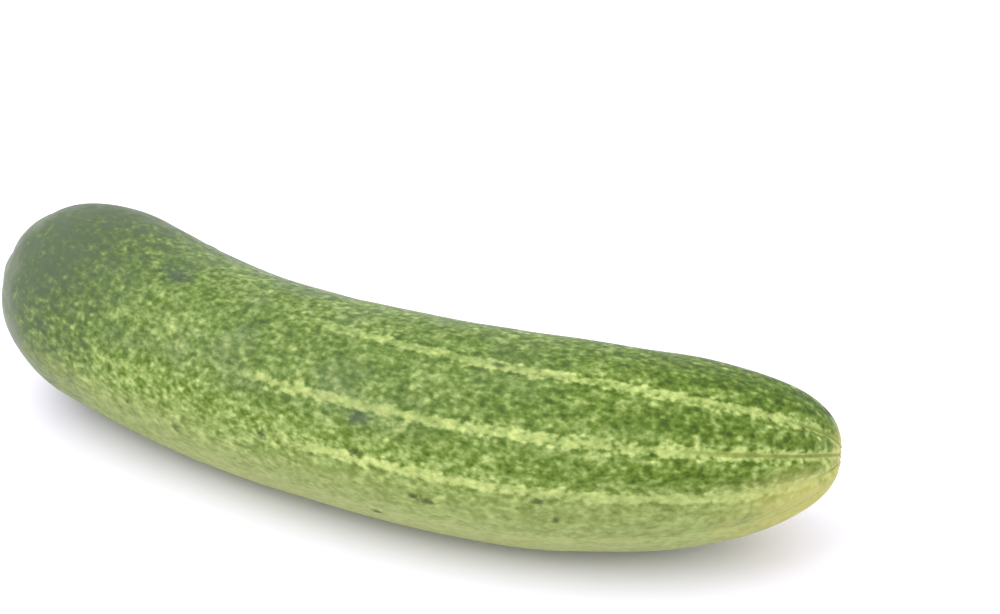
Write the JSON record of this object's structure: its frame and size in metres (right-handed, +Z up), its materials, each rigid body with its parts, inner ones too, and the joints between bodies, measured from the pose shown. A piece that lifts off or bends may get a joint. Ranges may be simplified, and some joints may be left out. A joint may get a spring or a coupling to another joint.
{
  "type": "cucumber",
  "caption": "Whole fresh cucumber, picked, gently bent and lying on its belly, with blunt ends and faint lengthwise ribs.",
  "frame": {"origin": "middle of the outline seen from above, on the surface that the cucumber lies on", "axes": "+X from the stem end to the blossom end, -Y towards the outer side of the bend, +Z up"},
  "size_m": [0.1892, 0.0576, 0.0442],
  "materials": {
    "cucumber_skin": "mottled green, satin wax"
  },
  "bodies": {
    "root": {"cucumber": "cucumber_skin"}
  },
  "joints": []
}
